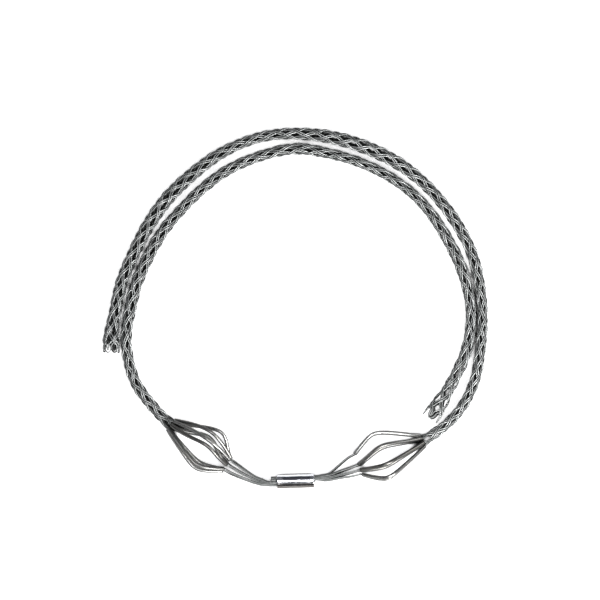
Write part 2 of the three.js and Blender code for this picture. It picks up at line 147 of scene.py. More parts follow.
# Fineness of the dressed pieces, and how the ropes lie in them
LEG_STEP = 0.5           # stations of a strand's path before it is smoothed
LOOP_STATIONS = 16       # in each half of a loop's side and of its round tip
FINE_STEP = 0.3          # stations while it is smoothed
SOFTENING = 1.0          # how far the smoothing reaches
PATH_STEP = 0.9          # stations along a finished rope
ROPE_LOBES = 6           # outer wires of a rope
ROPE_LAY = 9.0           # length of one turn of the outer wires
ROPE_RIDGE = 0.66        # rope axis to the crown of an outer wire
ROPE_GROOVE = 0.55       # rope axis to the groove between two
PAIR_WOVEN = 0.88        # strand axis to each of its two ropes, in the weave
PAIR_MOUTH = 1.3         # the same in the loops at the mouth, where the two ropes part
MOUTH_PARTING = 30       # length over which they part
PAIR_SLEEVED = 0.6       # the same in sleeves and bundle
PAIR_PRESSED = 0.45      # the same inside the ferrule
RELEASE = 4              # the pair opens over this length on either side of the press
SLEEVE_RING = 20         # points round a sleeve
SLEEVE_ROWS = 72         # stations along it
SLEEVE_PROUD = 0.03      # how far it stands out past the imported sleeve
SLEEVE_LIP = 0.12        # its ends are rolled in by this
LIP_LENGTH = 2.4         # from the cage's end to where the rolling starts
BEND_DENT = 0.16         # it is flatter by this at its bend
BEND_SPREAD = 0.1        # and wider by this
BEND_REACH = 6           # within this length
FERRULE_RING = 72        # points round the ferrule
FERRULE_ROWS = 40        # stations along its outside
BORE_ROWS = 12           # and along its bore
BORE_FLARE = 0.35        # the bore's rims open by this
FERRULE_SHRINK = 0.17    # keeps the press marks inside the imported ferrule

# Painted shade, darkening and dirt on the ropes, from 0 to 1
GROOVE_SHADE = 0.45       # painted shade between a rope's outer wires
PAIR_SHADE = 0.8          # painted shade where the two ropes of a pair touch
SHADE_PACKED = 0.8       # on a rope's inner side, in bundle and cage
SHADE_WOVEN = 0.97       # the same in the weave
NECK_DARKENING = 0.5          # darker rope at the neck
KNOT_PAST = 3            # this far past it
KNOT_REACH = 6           # and over this length
BUNDLE_DIRT = 0.38       # film on the bundle's ropes
END_DIRT = 0.2           # on cut ends


def lerp(a, b, t):
    return a + (b - a) * t


def smoothstep(x, low, high):
    t = np.clip((x - low) / (high - low), 0, 1)
    return t * t * (3 - 2 * t)


def unit(v):
    return v / np.linalg.norm(v, axis=-1, keepdims=True)


def polar(degrees, radius):
    angle = math.radians(degrees)
    return radius * math.cos(angle), radius * math.sin(angle)


def sock_rows(name):
    """One sock's angle, radius and girth, from its neck to its mouth."""
    if name == "left":
        return list(LEFT_ENTRY) + [row[:3] for row in RING]
    outer = [
        (degrees, radius + (girth + outer_girth) * MESH_RADIUS + 2 * WEAVE_DEPTH + gap, outer_girth)
        for degrees, radius, girth, gap, outer_girth in RING
    ]
    return (outer + list(RIGHT_ENTRY))[::-1]


def curve_through(points, per):
    """Centripetal Catmull-Rom curve through the points, with per samples to a stretch."""
    p = np.array(points, float)
    p = np.vstack([2 * p[0] - p[1], p, 2 * p[-1] - p[-2]])
    u = (np.arange(per) / per)[:, None]
    out = []
    for a, b, c, d in zip(p[:-3], p[1:-2], p[2:-1], p[3:]):
        d0, d1, d2 = (math.sqrt(np.linalg.norm(x - y)) for x, y in ((a, b), (b, c), (c, d)))
        m0 = ((b - a) / d0 - (c - a) / (d0 + d1) + (c - b) / d1) * d1
        m1 = ((c - b) / d1 - (d - b) / (d1 + d2) + (d - c) / d2) * d1
        out.append(b + m0 * u + (3 * (c - b) - 2 * m0 - m1) * u**2 + (2 * (b - c) + m0 + m1) * u**3)
    out.append(p[-2:-1])
    return np.vstack(out)


class Side:
    """One half of the grip: where its spine runs and where each strand lies round it."""

    def __init__(self, name):
        self.name = name
        for key, value in SIDES[name].items():
            setattr(self, key, value)
        self.phase, self.roll = math.radians(self.phase), math.radians(self.roll)
        self.rows = sock_rows(name)
        self.along = self.to_right * np.array([math.cos(FERRULE_YAW), math.sin(FERRULE_YAW)])
        sideways = np.array([-self.along[1], self.along[0]])
        axis = FERRULE_CENTRE + sideways * LAP_OFFSET
        self.start = axis - self.along * (FERRULE_LENGTH / 2 + self.stub)
        self.pressed_to = FERRULE_LENGTH + self.stub + max(self.beside, 0)
        self.straight = self.pressed_to + BUNDLE_STRAIGHT
        leave = self.start + self.along * self.straight
        route = [tuple(leave), *self.bundle, self.neck, *(polar(d, r) for d, r, _ in self.rows)]
        each = 60
        self.line = curve_through(route, each)
        steps = np.linalg.norm(np.diff(self.line, axis=0), axis=1)
        self.reach = self.straight + np.append(0, np.cumsum(steps))
        self.neck_at = self.reach[each * (len(self.bundle) + 1)]
        self.end = self.reach[-1]
        self.cage_from = self.neck_at - CAGE_LENGTH
        sock = self.end - LOOP_LENGTH - self.neck_at
        self.pitch = sock / CROSSING_ROWS
        self.tip_from = self.neck_at + (CROSSING_ROWS - 0.5) * self.pitch
        by_angle = sorted((d, g) for d, _, g in self.rows)
        self.girth_degrees, self.girths = zip(*by_angle)
        self.cage_end_lift = float(self.cage_lift(np.array([CAGE_LENGTH]))[0])
        self.neck_lift = float(self.cage_lift(np.array([SLEEVE_INSET]))[0])

    def point(self, s):
        line = np.stack([np.interp(s, self.reach, self.line[:, k]) for k in (0, 1)], axis=-1)
        flat = self.start + self.along * np.minimum(s, self.straight)[:, None]
        return np.where((s < self.straight)[:, None], flat, line)

    def frame_at(self, s):
        """Centre of the spine and the direction across it, both in plan."""
        tangent = unit(self.point(np.minimum(s + 0.5, self.end)) - self.point(s - 0.5))
        return self.point(s), np.stack([-tangent[:, 1], tangent[:, 0]], axis=-1)

    def pressed_place(self, slot):
        turn = slot - SLOTS if slot > STRANDS else slot
        if abs(turn) <= 2:
            angle = turn * PRESSED_OUTER
            return 2 * PACKED_STEP * math.cos(angle) - LAP_OFFSET, 2 * PACKED_STEP * math.sin(angle)
        angle = (STRANDS - abs(turn)) * math.copysign(PRESSED_INNER, turn)
        return PACKED_STEP * math.cos(angle) - LAP_OFFSET, PACKED_STEP * math.sin(angle)

    def cage(self, slot, from_neck):
        """Distance out, distance up and angle of a bar, at distances from the neck."""
        degrees, share, bow, end = self.bars[slot]
        bend = share * CAGE_LENGTH
        rising = NECK_RADIUS + (bow - NECK_RADIUS) * from_neck / bend
        falling = end + (bow - end) * (CAGE_LENGTH - from_neck) / (CAGE_LENGTH - bend)
        radius = (rising + falling - np.hypot(rising - falling, BEND_ROUNDING)) / 2
        bowed = (radius - NECK_RADIUS) / (bow - NECK_RADIUS)
        angle = lerp(self.phase + slot * SLOT_STEP, math.radians(degrees), smoothstep(bowed, 0, 1))
        upright = lerp(NECK_RADIUS, CAGE_FLATTENING * bow, np.maximum(bowed, 0))
        return radius * np.cos(angle), np.minimum(upright, radius) * np.sin(angle), angle, radius

    def cage_lift(self, from_neck):
        lowest = np.max([-self.cage(slot, from_neck)[1] for slot in range(SLOTS)], axis=0)
        return lowest + SLEEVE_RADIUS

    def bundle_place(self, slot, s):
        opened = smoothstep(s, self.pressed_to, self.pressed_to + BUNDLE_OPENING)
        widen = smoothstep(s, self.pressed_to + BUNDLE_OPENING, self.cage_from)
        _, end_up, end_angle, end_radius = (v[0] for v in self.cage(slot, np.array([CAGE_LENGTH])))
        level = abs(math.sin(end_angle)) < 0.05
        end_high = end_radius if level else end_up / math.sin(end_angle)
        turned = smoothstep(s, self.pressed_to, self.cage_from)
        angle = lerp(slot * SLOT_STEP, end_angle, turned)
        out = lerp(BUNDLE_RADIUS, end_radius, widen) * np.cos(angle)
        up = lerp(BUNDLE_RADIUS, end_high, widen) * np.sin(angle)
        pressed_out, pressed_up = self.pressed_place(slot)
        lift = lerp(FERRULE_HEIGHT, self.cage_end_lift, turned)
        return lerp(pressed_out, out, opened), lerp(pressed_up, up, opened), angle, lift

    def sock_shape(self, s):
        flared = smoothstep(s, self.end - FLARE_LENGTH, self.end - LOOP_LENGTH / 2)
        centre, _ = self.frame_at(s)
        degrees = np.degrees(np.arctan2(centre[:, 1], centre[:, 0]))
        degrees = np.where(degrees < -90, degrees + 360, degrees)
        radius = MESH_RADIUS * np.interp(degrees, self.girth_degrees, self.girths)
        return lerp(radius, MOUTH_HALF_WIDTH, flared), lerp(radius, MOUTH_HALF_HEIGHT, flared)

    def settled(self, s):
        return smoothstep(s, self.neck_at, self.neck_at + SETTLING_ROWS * self.pitch)

    def sock_lift(self, s, up):
        return lerp(self.neck_lift, up + WEAVE_DEPTH, self.settled(s))

    def sock_place(self, s, angle, offset):
        share = np.clip((s - self.neck_at) / (self.end - self.neck_at), 0, 1)
        angle = angle + self.roll * (self.settled(s) + share) / 2
        out, up = self.sock_shape(s)
        lift = self.sock_lift(s, up)
        leaving = smoothstep(s, self.neck_at, self.neck_at + self.pitch / 2)
        out, up = (lerp(NECK_RADIUS, x + offset, leaving) for x in (out, up))
        return out * np.cos(angle), up * np.sin(angle), angle, lift

    def to_space(self, s, place):
        """Points and outward directions for places round the spine."""
        out, up, angle, lift = place
        centre, sideways = self.frame_at(s)
        point = np.column_stack([centre + sideways * out[:, None], up + lift])
        radial = np.column_stack([sideways * np.cos(angle)[:, None], np.sin(angle)])
        return point, radial

    def leg(self, slot):
        """One slot's strand from its end in the ferrule to the last row of crossings."""
        s = np.arange(0, self.tip_from, LEG_STEP)
        from_neck = np.clip(self.neck_at - s, 0, CAGE_LENGTH)
        hand = 1 if slot % 2 == 0 else -1
        turn = np.maximum(s - self.neck_at, 0) / self.pitch
        angle = self.phase + slot * SLOT_STEP + hand * turn * SLOT_STEP
        offset = hand * WEAVE_OFFSET * np.sin(math.pi * turn)
        cage = [*self.cage(slot, from_neck)[:3], self.cage_lift(from_neck)]
        zones = [s < self.cage_from, s < self.neck_at]
        parts = zip(self.bundle_place(slot, s), cage, self.sock_place(s, angle, offset))
        place = [np.select(zones, [bundle, bar], sock) for bundle, bar, sock in parts]
        return s, *self.to_space(s, place)

    def loop(self, slot):
        """The strand's turn at the open mouth, from hand to hand."""
        meet = self.phase + slot * SLOT_STEP + (CROSSING_ROWS + 0.5) * SLOT_STEP
        over = WEAVE_OFFSET if CROSSING_ROWS % 2 else -WEAVE_OFFSET
        rise = np.linspace(0, 1, LOOP_STATIONS)[1:]
        turn = np.linspace(0, math.pi / 2, LOOP_STATIONS)[1:]
        share = np.append(rise * LOOP_SHOULDER, lerp(LOOP_SHOULDER, 1, np.sin(turn)))
        apart = np.append(lerp(1, LOOP_SHOULDER, rise), LOOP_SHOULDER * np.cos(turn))
        share = np.append(share, share[-2::-1])
        apart = np.append(apart, -apart[-2::-1])
        s = self.tip_from + share * (self.end - self.tip_from)
        offset = np.sign(apart) * over * (1 - share)
        return s, *self.to_space(s, self.sock_place(s, meet - apart * SLOT_STEP, offset))

    def partner(self, slot):
        return (slot + 1 + 2 * CROSSING_ROWS) % SLOTS

    def strand(self, number):
        """Path of a doubled strand: its reach along the spine, its points and outward directions."""
        slot = 2 * (number - 1)
        out, turn, back = self.leg(slot), self.loop(slot), self.leg(self.partner(slot))
        s, point, radial = (
            np.concatenate([a, b, c[::-1]]) for a, b, c in zip(out, turn, back)
        )
        return resample(s, point, radial)


def smoothed(values, sigma, step):
    """Values softened along the path, with both ends kept."""
    half = int(3 * sigma / step)
    kernel = np.exp(-0.5 * (np.arange(-half, half + 1) * step / sigma) ** 2)
    kernel /= kernel.sum()
    first = 2 * values[0] - values[half:0:-1]
    last = 2 * values[-1] - values[-2:-half - 2:-1]
    padded = np.vstack([first, values, last])
    return np.column_stack([np.convolve(padded[:, k], kernel, "valid") for k in range(values.shape[1])])


def resample(s, point, radial):
    """The path at even stations, smoothed, with its outward and sideways directions."""
    length = np.append(0, np.cumsum(np.linalg.norm(np.diff(point, axis=0), axis=1)))
    even = np.arange(0, length[-1], FINE_STEP)
    table = np.column_stack([s, point, radial])
    table = np.column_stack([np.interp(even, length, column) for column in table.T])
    table = smoothed(table, SOFTENING, FINE_STEP)[:: round(PATH_STEP / FINE_STEP)]
    along = unit(np.gradient(table[:, 1:4], axis=0))
    outward = table[:, 4:7]
    outward = unit(outward - along * np.sum(outward * along, axis=1, keepdims=True))
    return table[:, 0], table[:, 1:4], outward, np.cross(along, outward)


# Meshes
def make_object(name, points, faces, attributes, material):
    """A mesh object from points in millimetres and lists of equal-sided faces."""
    mesh = bpy.data.meshes.new(name)
    mesh.vertices.add(len(points))
    mesh.vertices.foreach_set("co", ((points + SHIFT) * MM).astype(np.float32).ravel())
    corners = np.concatenate([f.ravel() for f in faces]).astype(np.int32)
    counts = np.concatenate([np.full(len(f), f.shape[1]) for f in faces])
    mesh.loops.add(len(corners))
    mesh.loops.foreach_set("vertex_index", corners)
    mesh.polygons.add(len(counts))
    mesh.polygons.foreach_set("loop_start", (np.cumsum(counts) - counts).astype(np.int32))
    mesh.update(calc_edges=True)
    mesh.validate()
    mesh.shade_smooth()
    for key, values in attributes.items():
        layer = mesh.attributes.new(key, "FLOAT", "POINT")
        layer.data.foreach_set("value", np.asarray(values, np.float32))
    mesh.materials.append(material)
    piece = bpy.data.objects.new(name, mesh)
    bpy.context.collection.objects.link(piece)
    return piece


def grid_faces(rows, count, base=0, flip=False):
    """Quads that join rows of points, each row a closed ring."""
    i, k = np.meshgrid(np.arange(rows - 1), np.arange(count), indexing="ij")
    a = base + i * count + k
    b = base + i * count + (k + 1) % count
    quads = np.stack([a, b, b + count, a + count], axis=-1).reshape(-1, 4)
    return quads[:, ::-1] if flip else quads


def rope_points(centre, outward, across, side, place):
    """Rings of one laid rope, with how much painted shade each point gets, in its grooves, against the other
    rope of its pair and on its inner side.
    """
    length = PATH_STEP * np.arange(len(centre))
    sides = 2 * ROPE_LOBES
    turn = 2 * math.pi * (np.arange(sides)[None] / sides + length[:, None] / ROPE_LAY)
    crown = (np.arange(sides) % 2 == 0)[None]
    radius = np.where(crown, ROPE_RIDGE, ROPE_GROOVE)
    ring = (
        centre[:, None]
        + outward[:, None] * (radius * np.cos(turn))[..., None]
        + across[:, None] * (radius * np.sin(turn))[..., None]
    )
    groove = np.where(crown, 0.0, 1.0) * np.ones_like(turn)
    between = np.clip(-side * np.sin(turn), 0, 1) ** 2
    inward = np.clip(0.25 - np.cos(turn), 0, 1.25) / 1.25
    # Painted shade: darker in the grooves, where the two ropes of a pair touch, and on each rope's inward
    # side
    unshaded = (1 - GROOVE_SHADE * groove) * (1 - PAIR_SHADE * between) * (1 - inward * place[:, None])
    return ring, 1 - unshaded


def add_strand(side, number, material):
    """A doubled strand with both its legs, as two laid ropes side by side."""
    s, centre, outward, across = side.strand(number)
    woven = smoothstep(s, side.neck_at, side.neck_at + side.pitch)
    free = smoothstep(s, side.pressed_to - RELEASE, side.pressed_to + RELEASE)
    parted = smoothstep(s, side.end - MOUTH_PARTING, side.end - LOOP_LENGTH)
    in_sock = lerp(PAIR_WOVEN, PAIR_MOUTH, parted)
    apart = lerp(lerp(PAIR_PRESSED, PAIR_SLEEVED, free), in_sock, woven)
    in_shade = lerp(SHADE_PACKED, SHADE_WOVEN, woven)
    knot = NECK_DARKENING * np.exp(-(((s - side.neck_at - KNOT_PAST) / KNOT_REACH) ** 2))
    bundled = BUNDLE_DIRT * smoothstep(side.cage_from - s, -RELEASE, RELEASE)
    points, shade, faces = [], [], []
    base = 0
    for hand in (1, -1):
        line = centre + across * (hand * apart)[:, None]
        ring, shade_and_dirt = rope_points(line, outward, across, hand, in_shade)
        # The stored value is painted shade, with the darkening at the neck and the film on the bundle added
        shade_and_dirt = 1 - (1 - shade_and_dirt) * (1 - np.maximum(knot, bundled)[:, None])
        rows, count = ring.shape[:2]
        points += [ring.reshape(-1, 3), line[:1], line[-1:]]
        shade += [shade_and_dirt.ravel(), [END_DIRT, END_DIRT]]
        faces.append(grid_faces(rows, count, base))
        k = np.arange(count)
        nxt = (k + 1) % count
        first, last = base + rows * count, base + rows * count + 1
        top = base + (rows - 1) * count
        faces.append(np.column_stack([np.full(count, first), base + nxt, base + k]))
        faces.append(np.column_stack([np.full(count, last), top + k, top + nxt]))
        base += rows * count + 2
    quads = np.vstack([f for f in faces if f.shape[1] == 4])
    fans = np.vstack([f for f in faces if f.shape[1] == 3])
    first_slot = 2 * (number - 1)
    legs = [f"{side.name}_leg_{slot + 1}" for slot in (first_slot, side.partner(first_slot))]
    node = f"{side.name}_strand_{number}"
    piece = make_object(
        f"{node}_ropes", np.vstack(points), [quads, fans], {"shade_and_dirt": np.concatenate(shade)}, material
    )
    finish_piece(piece, "wire", node, *legs)


def add_sleeve(side, slot, material):
    """A bent thin tube over one leg of a strand, a little flattened where it turns."""
    reach = np.linspace(side.cage_from + SLEEVE_INSET, side.neck_at - SLEEVE_INSET, SLEEVE_ROWS)
    from_neck = side.neck_at - reach
    place = [*side.cage(slot, from_neck)[:3], side.cage_lift(from_neck)]
    centre, outward = side.to_space(reach, place)
    along = unit(np.gradient(centre, axis=0))
    outward = unit(outward - along * np.sum(outward * along, axis=1, keepdims=True))
    across = np.cross(along, outward)
    bend = side.bars[slot][1] * CAGE_LENGTH
    bent = np.exp(-(((from_neck - bend) / BEND_REACH) ** 2))
    from_end = np.minimum(from_neck, CAGE_LENGTH - from_neck)
    lip = SLEEVE_LIP * smoothstep(-from_end, -LIP_LENGTH, -SLEEVE_INSET)
    turn = 2 * math.pi * np.arange(SLEEVE_RING) / SLEEVE_RING

    def ring(radius):
        deep = radius - BEND_DENT * bent - lip
        wide = radius + BEND_SPREAD * bent - lip
        return (
            centre[:, None]
            + outward[:, None] * (deep[:, None] * np.cos(turn))[..., None]
            + across[:, None] * (wide[:, None] * np.sin(turn))[..., None]
        )

    outer, inner = ring(SLEEVE_RADIUS + SLEEVE_PROUD), ring(SLEEVE_RADIUS - SLEEVE_WALL)
    rows, count = outer.shape[:2]
    points = np.vstack([outer.reshape(-1, 3), inner.reshape(-1, 3)])
    size = rows * count
    k = np.arange(count)
    nxt = (k + 1) % count
    last = (rows - 1) * count
    caps = [
        np.column_stack([k, size + k, size + nxt, nxt]),
        np.column_stack([last + k, last + nxt, size + last + nxt, size + last + k]),
    ]
    faces = np.vstack([grid_faces(rows, count), grid_faces(rows, count, size, flip=True), *caps])
    span = np.repeat(from_neck, count)
    round_it = np.tile(turn, rows)
    attributes = {
        "span": np.tile(span, 2),
        "turn_x": np.tile(np.cos(round_it), 2),
        "turn_y": np.tile(np.sin(round_it), 2),
        # each bar's tone: painted shade from 0, bright, to 1
        "bar_shade": np.full(2 * size, side.tones[slot]),
        # 1 on the tube's inside: painted shade there
        "shade_and_dirt": np.append(np.zeros(size), np.ones(size)),
    }
    node = f"{side.name}_sleeve_{slot + 1}"
    piece = make_object(f"{node}_tube", points, [faces], attributes, material)
    finish_piece(piece, "sleeve", node)


def add_ferrule(material):
    """A pressed round tube with soft press marks, rounded rims and an open bore."""
    half = FERRULE_LENGTH / 2
    count = FERRULE_RING
    turn = 2 * math.pi * np.arange(count) / count
    edge = np.linspace(0, math.pi / 2, 5)
    rim = FERRULE_CHAMFER
    ends_x = half - rim + rim * np.sin(edge)[::-1]
    ends_r = FERRULE_RADIUS - rim + rim * np.cos(edge)[::-1]
    middle = np.linspace(-half + rim, half - rim, FERRULE_ROWS)[1:-1]
    x = np.concatenate([-ends_x, middle, ends_x[::-1]])
    radius = np.concatenate([ends_r, np.full(len(middle), FERRULE_RADIUS), ends_r[::-1]])
    bored = np.linspace(half - 1, -half + 1, BORE_ROWS)
    inside = np.concatenate([[half - 0.1, half - 0.5], bored, [-half + 0.5, -half + 0.1]])
    bore = np.full(len(inside), FERRULE_BORE)
    bore[[0, -1]] += BORE_FLARE
    x = np.append(x, inside)
    radius = np.append(radius, bore)
    outer = np.append(np.ones(len(x) - len(inside)), np.zeros(len(inside)))
    wave = (
        0.05 * np.sin(0.34 * x + 0.6)[:, None] * np.cos(2 * turn - 0.5)
        + 0.03 * np.sin(0.61 * x + 2.1)[:, None] * np.cos(3 * turn + 1.2)
        + 0.12 * np.exp(-(((x + 13) / 5) ** 2))[:, None] * np.cos(turn + 2.0)
    )
    full = radius[:, None] + (wave - FERRULE_SHRINK) * outer[:, None]
    yaw = np.array([math.cos(FERRULE_YAW), math.sin(FERRULE_YAW), 0])
    left = np.array([-yaw[1], yaw[0], 0])
    up = np.array([0, 0, 1])
    centre = np.array([*FERRULE_CENTRE, FERRULE_HEIGHT])
    ring = (
        centre + yaw * x[:, None, None]
        + left * (full * np.cos(turn))[..., None]
        + up * (full * np.sin(turn))[..., None]
    )
    rows = len(x)
    points = ring.reshape(-1, 3)
    faces = grid_faces(rows, count)
    k = np.arange(count)
    nxt = (k + 1) % count
    last = (rows - 1) * count
    close = np.column_stack([last + k, last + nxt, nxt, k])
    attributes = {
        "span": np.repeat(x, count),
        "turn_x": np.tile(np.cos(turn), rows),
        "turn_y": np.tile(np.sin(turn), rows),
        # 1 in the bore: painted shade there
        "shade_and_dirt": np.repeat(1 - outer, count),
    }
    piece = make_object("ferrule_tube", points, [np.vstack([faces, close])], attributes, material)
    finish_piece(piece, "ferrule", "ferrule")


def finish_piece(piece, slot, *nodes):
    """Ties a piece to the one body and hides the solids it stands for."""
    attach(piece, BODY)
    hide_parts(*nodes)


# Materials
class Nodes:
    """Short calls for building a node material."""

    def __init__(self, name):
        self.material = bpy.data.materials.new(name)
        self.material.use_nodes = True
        self.tree = self.material.node_tree
        self.tree.nodes.clear()
        self.output = self.tree.nodes.new("ShaderNodeOutputMaterial")

    def add(self, kind, settings=None, **inputs):
        node = self.tree.nodes.new(kind)
        for key, value in (settings or {}).items():
            setattr(node, key, value)
        for key, value in inputs.items():
            self.put(node, key.replace("_", " "), value)
        return node

    def put(self, node, key, value):
        socket = node.inputs[int(key)] if key.isdigit() else node.inputs[key]
        if isinstance(value, bpy.types.NodeSocket):
            self.tree.links.new(value, socket)
        else:
            socket.default_value = value

    def math(self, operation, *values):
        node = self.add("ShaderNodeMath", {"operation": operation})
        for i, value in enumerate(values):
            self.put(node, str(i), value)
        return node.outputs[0]

    def spread(self, value, from_low, from_high, to_low, to_high):
        node = self.add("ShaderNodeMapRange", {"clamp": True})
        for key, number in zip(("Value", "From Min", "From Max", "To Min", "To Max"),
                               (value, from_low, from_high, to_low, to_high)):
            self.put(node, key, number)
        return node.outputs["Result"]

    def mix(self, factor, first, second):
        node = self.add("ShaderNodeMix", {"data_type": "RGBA"})
        self.put(node, "0", factor)
        self.put(node, "6", first)
        self.put(node, "7", second)
        return node.outputs[2]

    def attribute(self, name):
        return self.add("ShaderNodeAttribute", {"attribute_name": name}).outputs["Fac"]

    def underside(self, top, bottom):
        """0 on faces that look up past one height of the normal, 1 on those below the other."""
        normal = self.add("ShaderNodeTexCoord").outputs["Normal"]
        height = self.add("ShaderNodeSeparateXYZ", Vector=normal).outputs["Z"]
        return self.spread(height, top, bottom, 0.0, 1.0)

    def place(self):
        return self.add("ShaderNodeTexCoord").outputs["Object"]

    def noise(self, vector, scale, detail=3.0):
        node = self.add("ShaderNodeTexNoise", Scale=scale, Detail=detail)
        self.put(node, "Vector", vector)
        return node.outputs["Fac"]

    def bump(self, height, distance, strength=1.0):
        return self.add("ShaderNodeBump", Height=height, Distance=distance, Strength=strength).outputs[0]

    def finish(self, shader):
        self.tree.links.new(shader, self.output.inputs["Surface"])
        return self.material


def colour(r, g, b):
    return (r, g, b, 1.0)


# Dull film at grazing angles, where clean metal would mirror the floor
EDGE_TINT = colour(0.35, 0.35, 0.35)


def wire_material():
    """Galvanised rope: bright crowns, grey-green film, near-black painted shade on its flanks and in its
    hollows, and darker rope at the neck and in the bundle.
    """
    n = Nodes("galvanised_wire_rope")
    shade_and_dirt = n.attribute("shade_and_dirt")
    place = n.place()
    patch = n.noise(place, 90.0)
    speck = n.noise(place, 900.0, 4.0)
    film = n.spread(patch, 0.35, 0.7, 0.0, 1.0)
    unshaded = n.mix(film, colour(0.72, 0.735, 0.73), colour(0.45, 0.47, 0.46))
    unshaded = n.mix(n.spread(speck, 0.45, 0.75, 0.0, 0.45), unshaded, colour(0.3, 0.31, 0.3))
    # painted shade on the rope's flanks, where its surface turns from facing up
    flank = n.math("MULTIPLY", n.underside(0.96, 0.4), 0.95)
    stain = n.math("MULTIPLY", n.math("SUBTRACT", speck, 0.5), 0.3)
    uneven = n.math("ADD", n.math("MAXIMUM", shade_and_dirt, flank), stain)
    # near-black: painted shade from the stored shade and the flanks, with the stored dirt and some random
    # stain
    shade_and_grime = n.spread(uneven, 0.25, 0.95, 0.0, 1.0)
    shader = n.add("ShaderNodeBsdfPrincipled", Metallic=0.85, Specular_Tint=EDGE_TINT)
    n.put(shader, "Base Color", n.mix(shade_and_grime, unshaded, colour(0.012, 0.014, 0.013)))
    n.put(shader, "Roughness", n.spread(uneven, 0.0, 1.0, 0.34, 0.8))
    n.put(shader, "Normal", n.bump(speck, 0.00005, 0.35))
    return n.finish(shader.outputs[0])


def sleeve_material():
    """Thin bright steel tube, drawn lengthwise, with warm and olive tints and darker ends; each bar is
    painted lighter or darker, and its flanks, underside and inside carry painted shade.
    """
    n = Nodes("bright_steel_sleeve")
    span, bar_shade, shade_and_dirt = n.attribute("span"), n.attribute("bar_shade"), n.attribute("shade_and_dirt")
    drawn = n.add("ShaderNodeCombineXYZ")
    n.put(drawn, "0", n.math("MULTIPLY", n.attribute("turn_x"), 2.2))
    n.put(drawn, "1", n.math("MULTIPLY", n.attribute("turn_y"), 2.2))
    n.put(drawn, "2", n.math("ADD", n.math("MULTIPLY", span, 0.02), n.math("MULTIPLY", bar_shade, 40.0)))
    streak = n.noise(drawn.outputs[0], 3.2, 5.0)
    soft = n.noise(n.place(), 60.0)
    worn = n.noise(n.place(), 700.0, 4.0)
    # each bar painted lighter or darker by its tone: painted shade
    bright = n.mix(bar_shade, colour(0.56, 0.56, 0.55), colour(0.15, 0.147, 0.137))
    toned = n.mix(n.spread(streak, 0.42, 0.68, 0.0, 0.5), bright, colour(0.17, 0.167, 0.158))
    warm = n.mix(n.spread(soft, 0.5, 0.75, 0.0, 0.4), toned, colour(0.2, 0.186, 0.155))
    near_end = n.math("MAXIMUM", n.spread(span, 22.0, 2.0, 0.0, 0.35), n.spread(span, 62.0, 70.0, 0.0, 0.35))
    dark = n.mix(near_end, warm, colour(0.12, 0.12, 0.115))
    # painted shade on the sleeve's flanks and underside
    dark = n.mix(n.underside(0.74, 0.2), dark, colour(0.03, 0.03, 0.029))
    shader = n.add("ShaderNodeBsdfPrincipled", Metallic=1.0, Specular_Tint=EDGE_TINT)
    # painted shade inside the tube
    n.put(shader, "Base Color", n.mix(shade_and_dirt, dark, colour(0.03, 0.03, 0.03)))
    n.put(shader, "Roughness", n.spread(n.math("ADD", streak, worn), 0.7, 1.4, 0.24, 0.42))
    height = n.math("ADD", n.math("MULTIPLY", streak, 0.6), n.math("MULTIPLY", worn, 0.25))
    n.put(shader, "Normal", n.bump(height, 0.00006, 0.25))
    return n.finish(shader.outputs[0])


def ferrule_material():
    """Polished light alloy with fine turning lines, press smears and dull marks; its flanks and bore carry
    painted shade, and a dark bluish band along it is a painted reflection.
    """
    n = Nodes("pressed_alloy_ferrule")
    span, shade_and_dirt = n.attribute("span"), n.attribute("shade_and_dirt")
    place = n.place()
    smear = n.noise(place, 110.0)
    fine = n.noise(place, 1200.0, 4.0)
    ring = n.math("SINE", n.math("MULTIPLY", span, 9.0))
    base = n.mix(n.spread(smear, 0.4, 0.7, 0.0, 0.5), colour(0.82, 0.84, 0.88), colour(0.62, 0.63, 0.66))
    base = n.mix(n.spread(fine, 0.55, 0.8, 0.0, 0.4), base, colour(0.42, 0.4, 0.38))
    turn = n.attribute("turn_x")
    # painted shade on both flanks of the ferrule
    base = n.mix(n.spread(turn, -0.1, -0.42, 0.0, 1.0), base, colour(0.19, 0.18, 0.17))
    base = n.mix(n.spread(turn, 0.86, 0.98, 0.0, 0.7), base, colour(0.17, 0.155, 0.145))
    # a dark bluish band along the ferrule: a painted reflection
    off_reflection_band = n.math("ABSOLUTE", n.math("SUBTRACT", turn, 0.48))
    off_middle = n.math("ABSOLUTE", n.math("SUBTRACT", span, 1.0))
    within = n.spread(off_middle, 13.0, 15.5, 1.0, 0.0)
    reflection_band = n.math("MULTIPLY", n.spread(off_reflection_band, 0.1, 0.24, 0.8, 0.0), within)
    base = n.mix(reflection_band, base, colour(0.12, 0.125, 0.165))
    shader = n.add("ShaderNodeBsdfPrincipled", Metallic=1.0, Specular_Tint=EDGE_TINT)
    # painted shade in the bore
    n.put(shader, "Base Color", n.mix(shade_and_dirt, base, colour(0.05, 0.05, 0.055)))
    n.put(shader, "Roughness", n.spread(smear, 0.35, 0.75, 0.14, 0.3))
    height = n.math("ADD", n.math("MULTIPLY", ring, 0.12), n.math("MULTIPLY", fine, 0.5))
    n.put(shader, "Normal", n.bump(height, 0.00004, 0.4))
    return n.finish(shader.outputs[0])


# The floor is painted dark inside a sock, where the ropes close in on it from all sides, and otherwise
# plain white: so the openings of the weave look into painted shade and the gap between socks doesn't.
NEAR_REACH = 0.006
WIDE_REACH = 0.016
FLOOR_WHITE = colour(0.86, 0.86, 0.86)
FLOOR_SHADE = colour(0.012, 0.012, 0.012)
FLOOR_GLOW = 0.62


